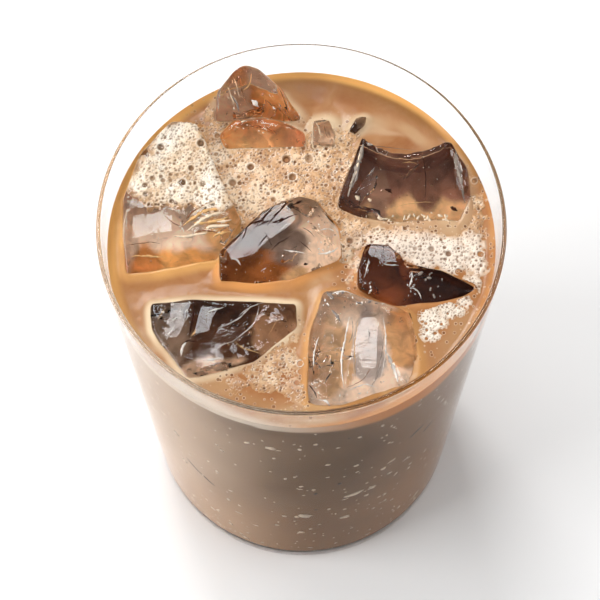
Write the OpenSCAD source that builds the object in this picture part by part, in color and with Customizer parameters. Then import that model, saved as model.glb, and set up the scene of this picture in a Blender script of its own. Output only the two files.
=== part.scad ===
// Iced milk coffee in a thin, slightly tapered tumbler, with broken ice floating in it
// and patches of froth on top. Millimetres, +Z up, origin at the middle of the foot.

/* [Glass] */
// Outer diameter of the rim
rim_d = 80; // [70:1:100]
// Outer diameter of the foot, where the side would meet the table
base_d = 68; // [58:1:90]
// Height of the glass
glass_h = 111; // [90:1:140]
// Thickness of the wall and of the rounded lip
wall_t = 1; // [0.8:0.1:2.5]
// Thickness of the bottom
bottom_t = 2.2; // [1.5:0.1:5]
// Outer radius of the heel
heel_r = 3; // [1.5:0.5:5]
// Radius of the inside corner
well_r = 3.5; // [1:0.5:6]
// Width of the flat foot ring
foot_w = 4; // [2:0.5:8]
// Depth of the hollow under the bottom
punt_h = 0.6; // [0.3:0.1:1]

/* [Coffee] */
// Distance from the rim down to the coffee
headroom = 10.5; // [9:0.5:30]
// How far the coffee climbs the glass
climb_h = 1; // [0.2:0.1:2]
// How far from the glass that climb begins
climb_w = 2.6; // [1:0.1:4]

/* [Froth] */
// Thickness of the froth
froth_t = 0.8; // [0.4:0.1:1.6]
// Radius of the largest froth patch
froth_r = 9; // [6:0.5:11]

/* [Ice] */
// Edge of a usual piece of ice
ice_edge = 25; // [20:0.5:30]
// Radius that melting has given the edges of the ice
ice_melt = 0.9; // [0.5:0.1:1.5]
// Least gap between two pieces of ice, and from the ice to the glass
ice_gap = 0.4; // [0.3:0.1:1]

/* [Hidden] */
NODES = ["glass", "coffee", "froth_back", "froth_right", "froth_front",
         "ice_left", "ice_back_low", "ice_back_tall", "ice_back_chip", "ice_sliver",
         "ice_back_right", "ice_centre", "ice_right", "ice_front_left", "ice_front"];

ICE = [for (name = NODES) if (name[0] == "i") name];
level = glass_h - headroom;      // height of the coffee's surface
lean = atan((rim_d - base_d) / 2 / glass_h);
edge_share = ice_edge / 25;      // the ice outlines below are drawn for a 25 mm edge
place_share = cavity_r(level) / 38.4;   // and its places for a surface of this radius
foot_share = 0.88;               // a piece of ice narrows to this much at its underside
far = 200;
round_fn = 96;
melt_fn = 6;
lip_steps = 8;
heel_steps = 6;
climb_steps = 5;

function side_r(z) = base_d / 2 + (rim_d - base_d) / 2 * z / glass_h;
function cavity_r(z) = side_r(z) - wall_t;
function reversed(list) = [for (i = [len(list) - 1:-1:0]) list[i]];
function index(name) = search([name], NODES)[0];
// Points along an arc, from one angle to another
function arc(x, y, r, from, to, steps) =
    [for (i = [0:steps]) let (a = from + (to - from) * i / steps) [x + r * cos(a), y + r * sin(a)]];
// Arc that rounds the corner between a leaning side and a floor at height z
function corner(side_at_floor, z, r) =
    arc(side_at_floor + r * tan(lean) - r / cos(lean), z + r, r, -90, -lean, heel_steps);

// ---- glass ----

module glass() {
    foot_r = base_d / 2 - heel_r;
    color([0.86, 0.9, 0.92, 0.35])
    rotate_extrude($fn = round_fn)
    polygon(concat(
        [[0, punt_h], [foot_r - foot_w - punt_h, punt_h], [foot_r - foot_w, 0]],
        corner(base_d / 2, 0, heel_r),
        arc(rim_d / 2 - wall_t / 2, glass_h - wall_t / 2, wall_t / 2, 0, 180, lip_steps),
        reversed(corner(cavity_r(bottom_t), bottom_t, well_r)),
        [[0, bottom_t]]));
}

// ---- coffee ----

// Fills the glass to its level and climbs the wall a little at the edge
module coffee_body() {
    rotate_extrude($fn = round_fn)
    polygon(concat(
        [[0, bottom_t]],
        corner(cavity_r(bottom_t), bottom_t, well_r),
        [for (i = [0:climb_steps])
            let (d = climb_w * i / climb_steps, z = level + climb_h * pow(1 - d / climb_w, 3))
            [cavity_r(z) - d, z]],
        [[0, level]]));
}

module coffee() {
    color([0.72, 0.5, 0.32])
    difference() {
        coffee_body();
        all_ice();
    }
}

// ---- froth ----

// Round patches that merge: [place on the surface, radius as a share of the largest]
function patches(name) =
    name == "froth_back" ?
        [[[-9, 14], 1], [[0, 17], 0.9], [[3, 13], 0.6], [[-13, 8], 0.45], [[6, 21], 0.6],
         [[6.5, 6.5], 0.4], [[10.5, 2], 0.4], [[15, 1], 0.35], [[20, 0.5], 0.42], [[25, -1.5], 0.5],
         [[30, -2.5], 0.5], [[34, 0], 0.25]] :
    name == "froth_right" ? [[[26, -16.4], 0.36], [[24.8, -20], 0.3]] :
        [[[-3.5, -25], 0.42], [[-7.5, -28.5], 0.38], [[-2.4, -30], 0.33], [[-1.6, -33.4], 0.22]];

module froth(name) {
    color([0.9, 0.8, 0.68])
    difference() {
        translate([0, 0, level]) linear_extrude(froth_t) intersection() {
            for (patch = patches(name))
                translate(patch[0] * place_share) circle(froth_r * patch[1], $fn = 24);
            circle(cavity_r(level) - climb_w - ice_gap, $fn = round_fn);
        }
        all_ice();
    }
}

// ---- ice ----

// Each piece of broken ice: [where its middle lies on the surface, how far that middle stands
// above the coffee, how its top tilts about X and about Y, its depth, its outline about the
// middle, the broken faces that slope down from its top as [direction, distance, slope], and
// a round bite out of its side as [x, y, radius]]
function shape(name) =
    name == "ice_left" ? [[-23.6, 9.4], 3.1, [1, 1], 22,
        [[-11.6, -16.6], [-12.2, 0.2], [-9, 9.6], [-2.6, 17.4], [3, 16.6], [11.7, -4.6],
         [7, -13.4], [-5.4, -16.2]],
        [[279, 8.8, 25], [140, 14, 30]]] :
    name == "ice_back_low" ? [[-6.5, 24.6], 2.7, [5, -1], 16,
        [[-10.3, -0.6], [-7, 2.6], [-1.6, 3.2], [3.6, 1.8], [7.8, -0.4], [7.4, -3.4], [-9, -3.8]],
        [[270, 0.4, 26]]] :
    name == "ice_back_tall" ? [[-7, 31.2], 7.9, [2, 11], 25,
        [[-9.4, -4.4], [-9.4, 0.4], [-6.6, 4], [-4, 5.8], [-0.6, 4.6], [4.6, 2], [9.4, -2.6],
         [9.2, -4.4]],
        [[268, -3.8, 36], [22, 0.2, 42], [205, 5.2, 52]]] :
    name == "ice_back_chip" ? [[4.8, 24.3], 2.3, [4, 6], 8,
        [[-2.4, -2.7], [-2.2, 2.5], [1.3, 3.1], [2.5, 0], [2, -3]],
        [[20, 0.9, 40]]] :
    name == "ice_sliver" ? [[11.7, 26.3], 1.4, [0, 4], 5,
        [[-1.9, -1.3], [-0.4, 1.4], [2, 2.2], [1.4, 0], [-0.6, -2.1]],
        [[0, 0.8, 30]]] :
    name == "ice_back_right" ? [[21.8, 11.2], 2.1, [14, 0], 21,
        [[-9.8, 11.4], [8.7, 10], [11.8, 4.8], [13.4, -8.8], [9.3, -9.8], [-10.1, -6.6],
         [-14.7, -4], [-14.4, -1.6]],
        [[350, 10.4, 32], [158, 11.8, 26]],
        [-0.4, 19.8, 12.6]] :
    name == "ice_centre" ? [[-4, 0.4], 3.7, [-1, 5], 20,
        [[-12.3, -8.7], [-12.4, -3.6], [-3.9, 5.5], [3.8, 9.7], [7.4, 9.2], [12, 3.2],
         [12.3, -3.9], [1.7, -8.8], [-5.2, -9.5]],
        [[270, 3.9, 38], [38, 8, 24]]] :
    name == "ice_right" ? [[20.5, -7.2], 3.9, [2, 2], 15,
        [[-9.8, 0], [-9.6, -3], [-1.4, -7.6], [4, -7.8], [14.6, -3.6], [14.5, -2.2],
         [6.8, 0.9], [0.4, 1.7], [-2.9, 5.6], [-7.9, 6.1]],
        [[271, -0.4, 26], [0, 1, 12]]] :
    name == "ice_front_left" ? [[-15.6, -20], 1.3, [1, 1], 16,
        [[-14.4, 7.6], [-14.2, 1.6], [-7.2, -9], [6.4, -5.2], [14.9, 1.8], [14.9, 7.5], [-5.4, 8.3]],
        [[214, 8.6, 20], [320, 9.8, 12]]] :
    [[10.8, -22.6], 2.2, [5, 0], 20,
        [[-7, 11.8], [-3.2, 12.1], [10.7, 7.4], [13.4, -6.6], [-3.6, -12], [-10.7, -12.4],
         [-9.6, 3.9]],
        [[176, 4.2, 11], [352, 5.4, 14]]];

// A chip has melted less round than a whole piece, being thinner
function melt(name) = ice_melt * min(1, shape(name)[3] / 16);
// Where a piece's top is, at its middle
function middle(name) =
    let (s = shape(name)) [s[0].x * place_share, s[0].y * place_share, level + s[1]];

// The sharp block inside a piece of ice, which melting then rounds outwards
module ice_block(name) {
    s = shape(name);
    translate(middle(name)) rotate(s[2])
    difference() {
        translate([0, 0, -melt(name)]) mirror([0, 0, 1])
        linear_extrude(s[3] * edge_share - 2 * melt(name), scale = foot_share)
        offset(delta = -melt(name)) scale(edge_share) polygon(s[4]);
        for (face = s[5])
            rotate(face[0]) translate([face[1] * edge_share, 0, -melt(name)])
            rotate([0, face[2], 0]) translate([-far / 2, -far / 2, 0]) cube(far);
    }
}

// Inside of the glass, held off its wall and bottom
module room(off) {
    low = bottom_t + off;
    translate([0, 0, low])
    cylinder(h = glass_h - low, r1 = cavity_r(low) - off, r2 = cavity_r(glass_h) - off, $fn = round_fn);
}

// One piece: its block, kept off the glass and the pieces before it, then melted round
module ice(name) {
    color([0.8, 0.74, 0.68, 0.5])
    difference() {
        minkowski() {
            difference() {
                intersection() {
                    ice_block(name);
                    room(ice_gap + melt(name));
                }
                for (other = ICE)
                    if (index(other) < index(name)) minkowski() {
                        ice_block(other);
                        sphere(ice_gap + melt(other) + melt(name), $fn = melt_fn);
                    }
            }
            sphere(melt(name), $fn = melt_fn);
        }
        if (len(shape(name)) > 6) ice_bite(name);
    }
}

module ice_bite(name) {
    bite = shape(name)[6] * edge_share;
    translate([middle(name).x, middle(name).y])
    linear_extrude(far) polygon(arc(bite.x, bite.y, bite.z, 200, 340, 10));
}

module all_ice() {
    for (name = ICE) ice(name);
}

glass();
coffee();
for (name = ["froth_back", "froth_right", "froth_front"])
    froth(name);
for (name = ICE)
    ice(name);
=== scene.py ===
"""Iced milk coffee in a thin tumbler: the glass, the coffee, the broken ice and the froth.

Places and sizes are worked out in millimetres. mesh_of() turns them into metres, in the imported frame.
"""
import math
from collections import namedtuple

import bmesh
import bpy
import numpy as np
from mathutils import Matrix, Vector
from mathutils.bvhtree import BVHTree


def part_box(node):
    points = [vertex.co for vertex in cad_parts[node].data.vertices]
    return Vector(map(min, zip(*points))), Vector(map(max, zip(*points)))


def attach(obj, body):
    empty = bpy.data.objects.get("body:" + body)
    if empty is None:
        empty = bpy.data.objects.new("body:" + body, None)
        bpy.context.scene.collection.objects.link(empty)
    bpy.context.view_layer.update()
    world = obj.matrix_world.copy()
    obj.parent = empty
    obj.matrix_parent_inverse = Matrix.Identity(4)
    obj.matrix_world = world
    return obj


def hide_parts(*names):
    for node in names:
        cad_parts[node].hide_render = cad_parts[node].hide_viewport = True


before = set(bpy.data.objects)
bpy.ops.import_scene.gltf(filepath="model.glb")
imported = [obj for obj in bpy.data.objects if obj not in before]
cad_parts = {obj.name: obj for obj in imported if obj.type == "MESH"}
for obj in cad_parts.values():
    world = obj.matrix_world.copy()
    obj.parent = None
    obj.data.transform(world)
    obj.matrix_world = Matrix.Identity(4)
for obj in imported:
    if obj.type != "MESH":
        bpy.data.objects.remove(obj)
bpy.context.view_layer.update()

# ---- sizes ----

MM = 0.001
rim_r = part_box("glass")[1][0] / MM
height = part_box("glass")[1][2] / MM
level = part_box("froth_back")[0][2] / MM
base_r, wall, bottom, heel, well, foot_w, punt = 34.0, 1.0, 2.2, 3.0, 3.5, 4.0, 0.6
climb_h, climb_w = 1.0, 2.6   # the coffee climbs the glass this high, starting this far from it
lean = math.atan((rim_r - base_r) / height)
into_glass = 0.1              # the coffee reaches this far into the wall, so that no air shows
into_coffee = 0.08            # and the ice this far into the coffee
above = height + 5            # rays that look for the top of something start here
ICE = [n for n in sorted(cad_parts) if n.startswith("ice_")]


def side_r(z):
    """The glass's outer radius at this height."""
    return base_r + (rim_r - base_r) * z / height


def cavity_r(z):
    """Its inner radius there."""
    return side_r(z) - wall


# ---- small tools ----

def waves(points, size, seed, octaves=2):
    """Smooth uneven relief, about -1 to 1, in bumps about this wide: sine waves in random directions."""
    rng = np.random.default_rng(seed)
    total = np.zeros(len(points))
    strength = 0.0
    for octave in range(octaves):
        share = 0.5 ** octave
        layer = np.zeros(len(points))
        for _ in range(9):
            way = rng.normal(size=3)
            way *= 2 ** octave * rng.uniform(0.6, 1.4) * math.pi / (size * np.linalg.norm(way))
            layer += np.sin(points @ way + rng.uniform(0, 2 * math.pi))
        total += share * layer / 3
        strength += share
    return total / strength


def fade(low, high, value):
    """0 at low, 1 at high, and smooth between them."""
    t = np.clip((value - low) / (high - low), 0, 1)
    return t * t * (3 - 2 * t)


def shift(colour, share, to):
    """A colour moved towards another by each point's own share."""
    return colour + share[:, None] * (np.array(to) - colour)


def mesh_of(name, verts, faces):
    """A smooth mesh in metres from points in millimetres."""
    mesh = bpy.data.meshes.new(name)
    mesh.from_pydata((np.asarray(verts, float) * MM).tolist(), [], [list(map(int, f)) for f in faces])
    mesh.validate()
    mesh.shade_smooth()
    return mesh


def linked(name, data):
    """A new object in the scene."""
    made = bpy.data.objects.new(name, data)
    bpy.context.scene.collection.objects.link(made)
    return made


def piece(name, mesh, materials, slot, *replaced):
    """An object of the drink: it rides on the root body and stands for the CAD nodes named."""
    made = linked(name, mesh)
    for material in materials:
        mesh.materials.append(material)
    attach(made, "root")
    if replaced:
        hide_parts(*replaced)


def read(items, what, unit=MM):
    """This vector of every item, in rows."""
    out = np.empty(len(items) * 3)
    items.foreach_get(what, out)
    return out.reshape(-1, 3) / unit


def points_of(mesh):
    return read(mesh.vertices, "co")


def normals_of(mesh):
    return read(mesh.vertex_normals, "vector", 1)


def faces_of(mesh):
    return [tuple(p.vertices) for p in mesh.polygons]


def set_points(mesh, points):
    mesh.vertices.foreach_set("co", (points * MM).ravel())
    mesh.update()


def joined(parts):
    """Many (points, faces) as one."""
    points, faces, count = [], [], 0
    for some_points, some_faces in parts:
        points.append(some_points)
        faces += [tuple(v + count for v in face) for face in some_faces]
        count += len(some_points)
    return np.vstack(points), faces


def paint(mesh, name, values):
    """A value or a colour for each vertex, which a material reads by its name."""
    kind, what = "FLOAT", "value"
    if np.ndim(values) == 2:
        kind, what = "FLOAT_COLOR", "color"
        values = np.hstack([values, np.ones((len(values), 1))])
    mesh.attributes.new(name, kind, "POINT").data.foreach_set(what, np.asarray(values, np.float32).ravel())


def modified(mesh, *modifiers):
    """The mesh after these modifiers, each given as (type, {setting: value})."""
    holder = linked("work", mesh)
    for kind, settings in modifiers:
        added = holder.modifiers.new(kind, kind)
        for key, value in settings.items():
            setattr(added, key, value)
    bpy.context.view_layer.update()
    done = bpy.data.meshes.new_from_object(holder.evaluated_get(bpy.context.evaluated_depsgraph_get()))
    bpy.data.objects.remove(holder)
    return done


def tree_of(points, faces):
    return BVHTree.FromPolygons(points.tolist(), faces)


def seen_from_above(tree, x, y):
    """Where a ray straight down at (x, y) meets the mesh, and the normal there; None and None for a miss."""
    return tree.ray_cast(Vector((x, y, above)), Vector((0, 0, -1)))[:2]


def rows_of(text):
    """The rows of a table of marks, parted by commas: each a kind of mark and then its numbers."""
    return [(kind, *map(float, numbers)) for kind, *numbers in map(str.split, text.split(","))]


def arc(x, y, r, start, end, count):
    """Points along an arc, in degrees."""
    turns = np.radians(np.linspace(start, end, count + 1))
    return [(x + r * math.cos(a), y + r * math.sin(a)) for a in turns]


def corner(side_at_floor, z, r, count):
    """The arc that rounds the corner between the leaning side and a floor."""
    return arc(side_at_floor + r * math.tan(lean) - r / math.cos(lean), z + r, r, -90, -math.degrees(lean),
               count)


def without_repeats(face):
    return [v for k, v in enumerate(face) if v != face[k - 1]]


def revolved(outline, around):
    """Points and faces of an outline of (radius, height) turned about Z. A radius of 0 is one point."""
    verts, rings, faces = [], [], []
    turns = np.linspace(0, 2 * math.pi, around, endpoint=False)
    for r, z in outline:
        if r < 1e-6:
            rings.append([len(verts)] * around)
            verts.append((0, 0, z))
        else:
            rings.append(range(len(verts), len(verts) + around))
            verts += [(r * math.cos(a), r * math.sin(a), z) for a in turns]
    for low, high in zip(rings, rings[1:]):
        for i in range(around):
            j = (i + 1) % around
            face = without_repeats([low[i], low[j], high[j], high[i]])
            if len(face) > 2:
                faces.append(face)
    return np.array(verts), faces


# ---- shader tools ----

def new_material(name):
    made = bpy.data.materials.new(name)
    made.use_nodes = True
    made.node_tree.nodes.clear()
    return made, made.node_tree


def add(nodes, kind, links=(), **settings):
    """A node; in_ names a socket's value, and links are (its input, the output that feeds it)."""
    made = nodes.nodes.new("ShaderNode" + kind)
    for key, value in settings.items():
        if key.startswith("in_"):
            made.inputs[key[3:].replace("_", " ")].default_value = value
        else:
            setattr(made, key, value)
    for socket, source in links:
        nodes.links.new(source, made.inputs[socket])
    return made


def feed(nodes, socket, value):
    """Gives a socket an output to read, or a value or colour of its own."""
    if hasattr(value, "is_linked"):
        nodes.links.new(value, socket)
    else:
        socket.default_value = (*value, 1) if isinstance(value, tuple) else value


def ramp(nodes, source, stops):
    """A colour ramp: stops are (position, value or colour)."""
    made = add(nodes, "ValToRGB", [("Fac", source)])
    points = made.color_ramp.elements
    while len(points) < len(stops):
        points.new(0.5)
    for point, (where, colour) in zip(points, stops):
        point.position = where
        point.color = (*colour, 1) if isinstance(colour, tuple) else (colour, colour, colour, 1)
    return made.outputs["Color"]


def blend(nodes, share, first, second, how="MIX"):
    """The first colour where share is 0 and the second where it is 1; each is a colour or an output."""
    made = add(nodes, "Mix", data_type="RGBA", blend_type=how)
    for key, value in ((0, share), (6, first), (7, second)):
        feed(nodes, made.inputs[key], value)
    return made.outputs[2]


def layered(nodes, ground, *layers):
    """A ground colour with layers over it, each given as (share, colour)."""
    for share, colour in layers:
        ground = blend(nodes, share, ground, colour)
    return ground


def do(nodes, operation, first, second=0.0, clamp=False):
    made = add(nodes, "Math", operation=operation, use_clamp=clamp)
    feed(nodes, made.inputs[0], first)
    feed(nodes, made.inputs[1], second)
    return made.outputs[0]


def times(nodes, first, second):
    return do(nodes, "MULTIPLY", first, second)


def value_of(nodes, name):
    return add(nodes, "Attribute", attribute_name=name).outputs["Fac"]


def colour_of(nodes, name):
    return add(nodes, "Attribute", attribute_name=name).outputs["Color"]


def bump(nodes, relief, strength, depth):
    return add(nodes, "Bump", [("Height", relief)], in_Strength=strength, in_Distance=depth * MM).outputs[0]


def lay_out(nodes):
    """Sets the nodes out in columns, each to the left of all that it feeds."""
    column = dict.fromkeys([n.name for n in nodes.nodes], 0)
    for _ in column:
        for link in nodes.links:
            start, end = link.from_node.name, link.to_node.name
            column[start] = max(column[start], column[end] + 1)
    rows = {}
    for node in nodes.nodes:
        own = column[node.name]
        rows[own] = rows.get(own, 0) + 1
        node.location = (-220 * own, -260 * rows[own])


def principled(nodes, links=(), **settings):
    shader = add(nodes, "BsdfPrincipled", links, **settings)
    add(nodes, "OutputMaterial", [("Surface", shader.outputs[0])])
    lay_out(nodes)


# ---- effects that several materials use ----

def new_group(name, inputs, outputs):
    """An empty node group: inputs are (name, value), outputs are names of values."""
    made = bpy.data.node_groups.new(name, "ShaderNodeTree")
    for label, value in inputs:
        made.interface.new_socket(label, in_out="INPUT", socket_type="NodeSocketFloat").default_value = value
    for label in outputs:
        made.interface.new_socket(label, in_out="OUTPUT", socket_type="NodeSocketFloat")
    return made, made.nodes.new("NodeGroupInput").outputs, made.nodes.new("NodeGroupOutput").inputs


def place(nodes, group, **values):
    """The outputs of a group placed with its own values."""
    made = nodes.nodes.new("ShaderNodeGroup")
    made.node_tree = group
    for key, value in values.items():
        made.inputs[key].default_value = value
    return made.outputs


def millimetres(nodes):
    """The place on the object, in millimetres."""
    where = add(nodes, "TexCoord").outputs["Object"]
    return add(nodes, "VectorMath", [(0, where)], operation="SCALE", in_Scale=1000.0).outputs[0]


def make_swirl():
    """Slow milk swirls, 0 to 1: a warped noise stretched in drawn-out curls."""
    inputs = [("Size", 12.0), ("Warp", 6.0), ("Seed", 0.0)]
    group, given, out = new_group("milk_swirl", inputs, ["Swirl", "Fine"])
    where = millimetres(group)
    seeded = [("Scale", do(group, "DIVIDE", 1.0, given["Size"])), ("W", given["Seed"])]
    warp = add(group, "TexNoise", [("Vector", where), *seeded], noise_dimensions="4D", in_Detail=2.0)
    centred = add(group, "VectorMath", [(0, warp.outputs["Color"])], operation="SUBTRACT")
    centred.inputs[1].default_value = (0.5, 0.5, 0.5)
    pushed = add(group, "VectorMath", [(0, centred.outputs[0]), ("Scale", given["Warp"])], operation="SCALE")
    warped = add(group, "VectorMath", [(0, where), (1, pushed.outputs[0])], operation="ADD").outputs[0]
    main = add(group, "TexNoise", [("Vector", warped), *seeded], noise_dimensions="4D", in_Detail=3.0,
               in_Roughness=0.55, in_Distortion=0.6)
    fine = add(group, "TexNoise", [("Vector", warped)], in_Scale=1.1, in_Detail=3.0)
    feed(group, out["Swirl"], main.outputs[0])
    feed(group, out["Fine"], fine.outputs[0])
    lay_out(group)
    return group


def make_bubbles():
    """Round bubbles scattered at uneven sizes: Mask is 1 inside one, Rim is 1 round its edge."""
    inputs = [("Cell", 1.0), ("Size", 0.35), ("Share", 1.0)]
    group, given, out = new_group("small_bubbles", inputs, ["Mask", "Rim"])
    scale = do(group, "DIVIDE", 1.0, given["Cell"])
    cells = add(group, "TexVoronoi", [("Vector", millimetres(group)), ("Scale", scale)], in_Randomness=1.0)
    drawn = add(group, "SeparateColor", [("Color", cells.outputs["Color"])]).outputs
    kept = do(group, "LESS_THAN", drawn[0], given["Share"])
    radius = do(group, "ADD", times(group, drawn[1], given["Size"]), 0.02)
    depth = do(group, "SUBTRACT", radius, cells.outputs["Distance"])
    mask = do(group, "DIVIDE", depth, 0.06, True)
    rim = do(group, "SUBTRACT", 1.0, do(group, "DIVIDE", do(group, "ABSOLUTE", depth), 0.07, True))
    feed(group, out["Mask"], times(group, mask, kept))
    feed(group, out["Rim"], times(group, rim, kept))
    lay_out(group)
    return group


def make_ripple():
    """Relief of a melted or blown surface: Height for a Bump node."""
    group, given, out = new_group("melted_relief", [("Size", 3.0), ("Fine", 0.4)], ["Height"])
    where, noises = millimetres(group), []
    for finer, detail in ((1.0, 2.0), (4.0, 3.0)):
        scale = do(group, "DIVIDE", finer, given["Size"])
        noises.append(add(group, "TexNoise", [("Vector", where), ("Scale", scale)], in_Detail=detail))
    broad, small = [noise.outputs[0] for noise in noises]
    feed(group, out["Height"], do(group, "ADD", broad, times(group, small, given["Fine"])))
    lay_out(group)
    return group


SWIRL, BUBBLES, RIPPLE = make_swirl(), make_bubbles(), make_ripple()


# ---- materials ----

def coffee_material():
    """Milk coffee's surface: tan swirls, painted light round the ice, orange where it thins against the
    glass.
    """
    made, nodes = new_material("coffee_surface")
    swirl = place(nodes, SWIRL, Size=11.0, Warp=11.0, Seed=1.7)
    tiny = place(nodes, BUBBLES, Cell=0.95, Size=0.42, Share=0.8)
    relief = place(nodes, RIPPLE, Size=7.0, Fine=0.3)
    foamy = times(nodes, value_of(nodes, "near_froth"), 0.8)
    tan = ramp(nodes, swirl["Swirl"], [(0.34, (0.31, 0.108, 0.034)), (0.45, (0.37, 0.150, 0.054)),
                                       (0.55, (0.43, 0.205, 0.088)), (0.68, (0.52, 0.315, 0.165))])
    body = layered(nodes, tan,
                   (value_of(nodes, "toned"), colour_of(nodes, "tone")),
                   (times(nodes, swirl["Fine"], 0.14), (0.62, 0.40, 0.22)),
                   # painted light round the ice
                   (value_of(nodes, "near_ice"), colour_of(nodes, "halo")),
                   (value_of(nodes, "near_glass"), colour_of(nodes, "edge")),
                   (times(nodes, tiny["Mask"], foamy), (0.15, 0.05, 0.017)),
                   # painted highlights on the rims of the small bubbles near the froth
                   (times(nodes, tiny["Rim"], foamy), (0.84, 0.66, 0.48)))
    principled(nodes, [("Base Color", body), ("Normal", bump(nodes, relief[0], 0.25, 0.5))],
               in_Roughness=0.14, in_IOR=1.35, in_Specular_IOR_Level=0.22)
    return made


def side_material():
    """Coffee seen through the wall: dark brown, with painted light that makes it paler to the left and behind
    and a lighter warm brown low down and to the right, pale specks and a band at the top.
    """
    made, nodes = new_material("coffee_at_glass")
    swirl = place(nodes, SWIRL, Size=20.0, Warp=14.0, Seed=4.2)
    specks = place(nodes, BUBBLES, Cell=1.7, Size=0.16, Share=0.5)
    dotted = times(nodes, specks["Mask"], value_of(nodes, "specks"))
    brown = ramp(nodes, swirl["Swirl"], [(0.34, (0.100, 0.050, 0.018)), (0.66, (0.135, 0.070, 0.029))])
    body = layered(nodes, brown,
                   # painted light: paler where the left and back-left lamps fall, and a lighter warm brown to
                   # the right and low down
                   (value_of(nodes, "milky"), (0.40, 0.275, 0.185)),
                   (value_of(nodes, "warm"), (0.42, 0.195, 0.075)),
                   (times(nodes, dotted, 0.6), (0.62, 0.48, 0.36)),
                   (value_of(nodes, "near_top"), colour_of(nodes, "halo")))
    principled(nodes, [("Base Color", body)], in_Roughness=0.5, in_IOR=1.35, in_Specular_IOR_Level=0.0)
    return made


def pocket_material():
    """Coffee seen through the ice: each piece's colours, partly the coffee's own and partly painted shade and
    light, with milk swirls.
    """
    made, nodes = new_material("coffee_under_ice")
    swirl = place(nodes, SWIRL, Size=4.0, Warp=5.0, Seed=8.0)
    shade = ramp(nodes, swirl["Swirl"], [(0.32, 0.62), (0.5, 1.0), (0.68, 1.3)])
    body = blend(nodes, 1.0, colour_of(nodes, "seen"), shade, "MULTIPLY")
    principled(nodes, [("Base Color", body)], in_Roughness=0.35, in_IOR=1.35, in_Specular_IOR_Level=0.0)
    return made


def froth_material(name, dark, middle, light):
    """Foam: cream ground, brown pits where bubbles have burst, painted highlights round their rims, and finer
    bubbles than the relief holds.
    """
    made, nodes = new_material(name)
    swirl = place(nodes, SWIRL, Size=5.0, Warp=6.0, Seed=3.0)
    fine = place(nodes, BUBBLES, Cell=0.62, Size=0.46, Share=0.75)
    finer = place(nodes, BUBBLES, Cell=0.34, Size=0.42, Share=0.7)
    in_pit = tuple(c * k for c, k in zip(dark, (0.38, 0.30, 0.22)))
    ground = layered(nodes, ramp(nodes, swirl["Swirl"], [(0.36, dark), (0.50, middle), (0.62, light)]),
                     (times(nodes, value_of(nodes, "whiter"), 0.75), (0.95, 0.85, 0.74)),
                     (times(nodes, finer["Mask"], 0.45), (0.42, 0.22, 0.10)),
                     (times(nodes, fine["Mask"], 0.6), (0.30, 0.13, 0.05)),
                     # painted highlights round the rims of the fine bubbles
                     (times(nodes, fine["Rim"], 0.5), (0.92, 0.80, 0.65)),
                     (value_of(nodes, "thin"), (0.50, 0.27, 0.12)),
                     # painted highlights round the rims of the burst bubbles
                     (value_of(nodes, "ring"), (0.95, 0.86, 0.74)),
                     (value_of(nodes, "pit"), in_pit))
    hollow = do(nodes, "SUBTRACT", fine["Rim"], times(nodes, fine["Mask"], 1.2))
    principled(nodes, [("Base Color", ground), ("Normal", bump(nodes, hollow, 0.5, 0.15))],
               in_Roughness=0.32, in_IOR=1.35)
    return made


def clear_material(name, tint, ior, size, fine, strength, depth):
    """Ice or glass, with the relief of a melted or blown surface."""
    made, nodes = new_material(name)
    relief = place(nodes, RIPPLE, Size=size, Fine=fine)
    principled(nodes, [("Normal", bump(nodes, relief[0], strength, depth))],
               in_Base_Color=(*tint, 1), in_Roughness=0.0, in_IOR=ior, in_Transmission_Weight=1.0)
    return made


def mark_material(name, colour):
    """A wet mark of one colour, a little uneven."""
    made, nodes = new_material(name)
    swirl = place(nodes, SWIRL, Size=1.2, Warp=1.0, Seed=2.0)
    body = ramp(nodes, swirl["Swirl"], [(0.35, tuple(0.7 * c for c in colour)), (0.6, colour)])
    principled(nodes, [("Base Color", body)], in_Roughness=0.45, in_IOR=1.31, in_Specular_IOR_Level=0.08)
    return made


# ---- glass ----

WALL_IOR, LIP_IOR, ICE_IOR = 1.09, 1.35, 1.31   # a thin wall that mirrors little, under a lip that shows


def tumbler():
    """The glass, with a round lip and heel, and a flat foot ring round a shallow hollow."""
    foot = base_r - heel
    near = 0.3            # a ring this near a corner keeps the rounding out of the flat
    under_lip = height - wall / 2 - near
    inner = corner(cavity_r(bottom), bottom, well, 14)
    outline = [(0, punt), (foot - foot_w - punt - 0.4, punt), (foot - foot_w - punt, punt),
               (foot - foot_w - 0.1, 0.05), (foot - foot_w, 0), (foot - near, 0),
               *corner(base_r, 0, heel, 14),
               *[(side_r(z), z) for z in (heel + near, 20, 50, 80, under_lip)],
               *arc(rim_r - wall / 2, height - wall / 2, wall / 2, 0, 180, 14),
               *[(cavity_r(z), z) for z in (under_lip, 80, 50, 20, bottom + well + near)],
               *inner[::-1], (inner[0][0] - 0.4, bottom), (0, bottom)]
    mesh = mesh_of("tumbler", *revolved(outline, 192))
    mesh.set_sharp_from_angle(angle=math.radians(40))
    materials = [clear_material(name, (0.99, 0.993, 0.993), ior, size=26.0, fine=0.1, strength=0.08,
                                depth=0.4)
                 for name, ior in (("tumbler_glass", WALL_IOR), ("tumbler_lip", LIP_IOR))]
    piece("tumbler", mesh, materials, "clear_glass", "glass")
    for polygon in mesh.polygons:
        polygon.material_index = int(polygon.center.z > (height - wall) * MM)


# ---- ice ----

# Colours of the painted light on the coffee round the ice, for light that the ice passes onto the coffee and
# that the meniscus reflects
AMBER, GOLDEN, CREAM = (0.66, 0.29, 0.09), (0.70, 0.36, 0.12), (0.76, 0.58, 0.38)
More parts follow.
